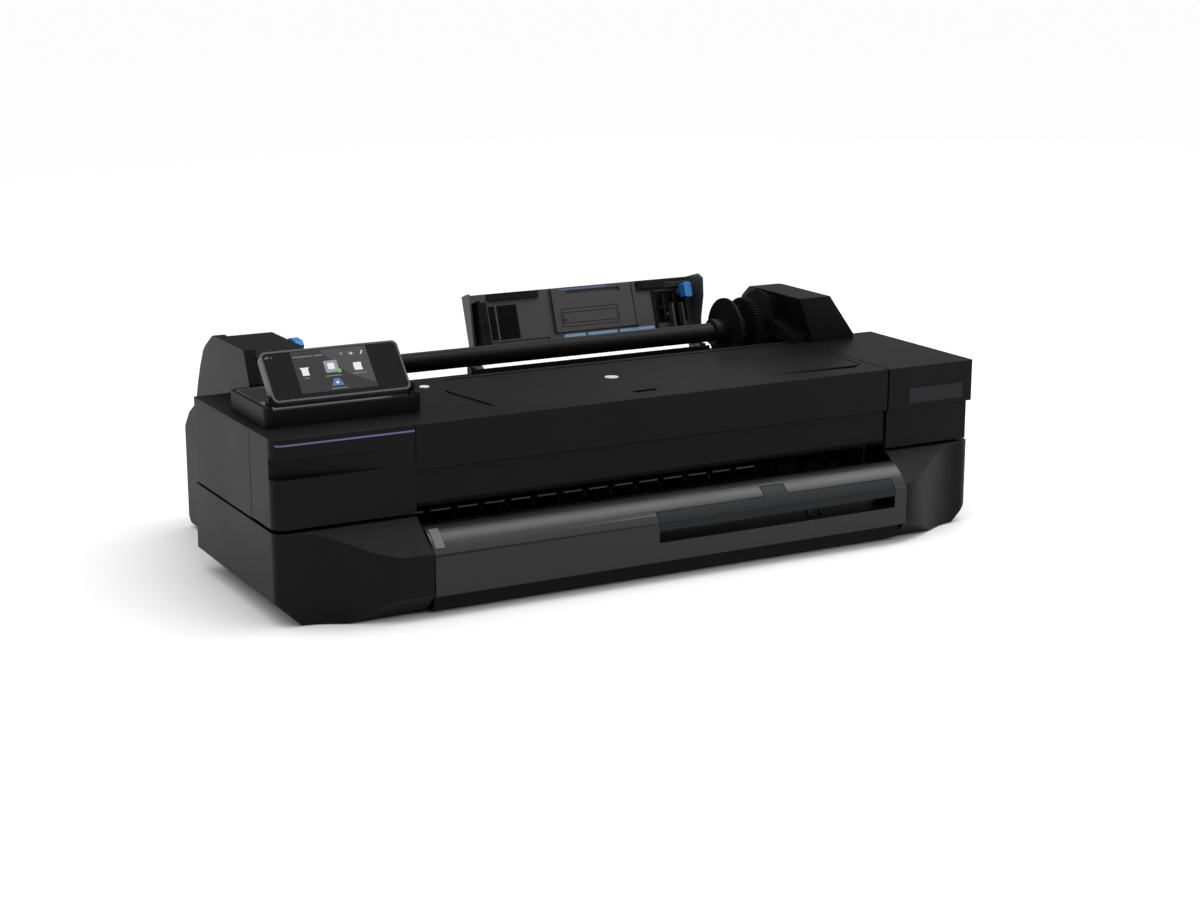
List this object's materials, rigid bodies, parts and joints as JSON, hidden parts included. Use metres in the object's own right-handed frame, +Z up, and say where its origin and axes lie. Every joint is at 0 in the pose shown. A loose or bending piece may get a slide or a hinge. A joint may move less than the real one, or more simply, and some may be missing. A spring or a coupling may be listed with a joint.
{
  "type": "large format plotter",
  "caption": "Desktop large format inkjet plotter with tilting display, front ink door, output tray with extension, rear roll spindle between supports and a raised rear sheet tray.",
  "frame": {"origin": "centre of the machine's footprint, on the surface that it stands on", "axes": "+X to the right as the user sees it from the front, +Y to the back, +Z up"},
  "size_m": [0.987, 0.53, 0.3003],
  "materials": {
    "cover_black": "fine textured satin",
    "inner_black": "moulded matt",
    "rubber": "matt",
    "emblem_silver": "satin",
    "stripe_violet": "satin",
    "liner_grey": "satin",
    "display_frame": "satin",
    "display_black": "glossy",
    "button_white": "glossy",
    "label_grey": "satin",
    "tray_green": "satin",
    "extension_blue": "satin",
    "zinc_steel": "zinc plated",
    "touch_blue": "satin",
    "spindle_black": "satin",
    "bright_steel": "polished",
    "roller_grit": "grit coated",
    "white_nylon": "moulded",
    "pinion_brass": "machined",
    "encoder_film": "film",
    "board_green": "solder mask"
  },
  "bodies": {
    "chassis": {"base_pan": "inner_black", "rubber_feet": "rubber", "left_lower_housing": "cover_black", "right_lower_housing": "cover_black", "left_side_cover": "cover_black", "right_lower_cover": "cover_black", "right_end_cap": "cover_black", "front_panel": "cover_black", "top_deck": "cover_black", "display_bay": "cover_black", "bay_liner": "liner_grey", "label_plate": "label_grey", "output_tray": "tray_green", "rear_housing": "cover_black", "connector_panel": "zinc_steel", "mains_inlet": "inner_black", "left_support": "cover_black", "right_support": "cover_black", "roll_motor": "zinc_steel", "mech_frame": "zinc_steel", "platen": "inner_black", "feed_motor": "zinc_steel", "guide_rod": "bright_steel", "encoder_strip": "encoder_film", "drive_belt": "rubber", "carriage_motor": "zinc_steel", "cartridge_bay": "inner_black", "ink_cartridges": "inner_black", "service_station": "inner_black", "main_board": "board_green", "power_supply": "zinc_steel", "case_screws": "zinc_steel"},
    "window": {"window_panel": "cover_black", "emblem_disc": "emblem_silver"},
    "ink_door": {"ink_door": "cover_black", "ink_door_stripe": "stripe_violet"},
    "display": {"display_housing": "display_frame", "display_glass": "display_black"},
    "power_button": {"power_button": "button_white"},
    "tray_extension": {"tray_extension": "extension_blue"},
    "latch_lever": {"latch_lever": "touch_blue"},
    "spindle": {"spindle_tube": "spindle_black", "spindle_flanges": "inner_black", "spindle_gear": "inner_black"},
    "roll_idler": {"roll_idler_gear": "inner_black"},
    "roll_pinion": {"roll_pinion": "bright_steel"},
    "sheet_tray": {"sheet_tray": "cover_black"},
    "sheet_guide": {"sheet_guide": "inner_black"},
    "tray_extender": {"tray_extender": "cover_black"},
    "guide_lever": {"guide_lever": "touch_blue"},
    "feed_roller": {"feed_roller": "roller_grit", "feed_gear": "white_nylon"},
    "pinch_rollers": {"pinch_rollers": "rubber"},
    "feed_pinion": {"feed_pinion": "pinion_brass"},
    "carriage": {"carriage": "inner_black", "print_heads": "inner_black"},
    "motor_pulley": {"motor_pulley": "bright_steel"},
    "idler_pulley": {"idler_pulley": "bright_steel"},
    "cap_sled": {"cap_sled": "rubber"}
  },
  "joints": [
    {"name": "window_hinge", "type": "hinge", "parent": "chassis", "child": "window", "pos_m": [0, -0.0032, 0.215], "axis": [-1, 0, 0], "range_deg": [0, 70]},
    {"name": "ink_door_hinge", "type": "hinge", "parent": "chassis", "child": "ink_door", "pos_m": [-0.4, -0.208, 0.12], "axis": [1, 0, 0], "range_deg": [0, 75]},
    {"name": "display_tilt", "type": "hinge", "parent": "chassis", "child": "display", "pos_m": [-0.376, -0.13386, 0.25019], "axis": [1, 0, 0], "range_deg": [-46, 25]},
    {"name": "power_press", "type": "slide", "parent": "chassis", "child": "power_button", "axis": [0, 0, -1], "range_m": [0, 0.0015], "stiffness_N_per_m": 300},
    {"name": "extension_slide", "type": "slide", "parent": "chassis", "child": "tray_extension", "axis": [0, -1, 0], "range_m": [0, 0.07]},
    {"name": "latch_tilt", "type": "hinge", "parent": "chassis", "child": "latch_lever", "pos_m": [-0.36, 0.047, 0.262], "axis": [-1, 0, 0], "range_deg": [0, 35]},
    {"name": "spindle_spin", "type": "hinge", "parent": "chassis", "child": "spindle", "pos_m": [-0.06, 0.085, 0.23], "axis": [1, 0, 0], "continuous": true},
    {"name": "roll_idler_spin", "type": "hinge", "parent": "chassis", "child": "roll_idler", "pos_m": [0.323, 0.13251, 0.19673], "axis": [1, 0, 0], "continuous": true},
    {"name": "roll_pinion_spin", "type": "hinge", "parent": "chassis", "child": "roll_pinion", "pos_m": [0.323, 0.15426, 0.19673], "axis": [1, 0, 0], "continuous": true},
    {"name": "sheet_tray_hinge", "type": "hinge", "parent": "chassis", "child": "sheet_tray", "pos_m": [0.133, 0.193, 0.187], "axis": [1, 0, 0], "range_deg": [-25, 28]},
    {"name": "sheet_guide_slide", "type": "slide", "parent": "sheet_tray", "child": "sheet_guide", "axis": [1, 0, 0], "range_m": [0, 0.08]},
    {"name": "extender_slide", "type": "slide", "parent": "sheet_tray", "child": "tray_extender", "axis": [0, 0.3256, 0.9455], "range_m": [0, 0.055]},
    {"name": "guide_lever_turn", "type": "hinge", "parent": "sheet_tray", "child": "guide_lever", "pos_m": [0.296, 0.21686, 0.26551], "axis": [0, 0.9455, -0.3256], "range_deg": [0, 60]},
    {"name": "feed_roller_spin", "type": "hinge", "parent": "chassis", "child": "feed_roller", "pos_m": [0, -0.08, 0.081], "axis": [1, 0, 0], "continuous": true},
    {"name": "pinch_roller_spin", "type": "hinge", "parent": "chassis", "child": "pinch_rollers", "pos_m": [0, -0.08, 0.0953], "axis": [1, 0, 0], "continuous": true},
    {"name": "feed_pinion_spin", "type": "hinge", "parent": "chassis", "child": "feed_pinion", "pos_m": [0.36, -0.04375, 0.081], "axis": [1, 0, 0], "continuous": true},
    {"name": "carriage_slide", "type": "slide", "parent": "chassis", "child": "carriage", "axis": [-1, 0, 0], "range_m": [0, 0.5]},
    {"name": "motor_pulley_spin", "type": "hinge", "parent": "chassis", "child": "motor_pulley", "pos_m": [0.328, -0.078, 0.168], "axis": [0, 1, 0], "continuous": true},
    {"name": "idler_pulley_spin", "type": "hinge", "parent": "chassis", "child": "idler_pulley", "pos_m": [-0.318, -0.078, 0.168], "axis": [0, 1, 0], "continuous": true},
    {"name": "cap_slide", "type": "slide", "parent": "chassis", "child": "cap_sled", "axis": [0, 0, -1], "range_m": [0, 0.008]}
  ],
  "couplings": [
    {"joint": "roll_idler_spin", "follows": "spindle_spin", "ratio": -3},
    {"joint": "roll_pinion_spin", "follows": "spindle_spin", "ratio": 6},
    {"joint": "pinch_roller_spin", "follows": "feed_roller_spin", "ratio": -1.8},
    {"joint": "feed_pinion_spin", "follows": "feed_roller_spin", "ratio": -4},
    {"joint": "motor_pulley_spin", "follows": "carriage_slide", "rad_per_m": 111.11},
    {"joint": "idler_pulley_spin", "follows": "carriage_slide", "rad_per_m": 111.11}
  ]
}
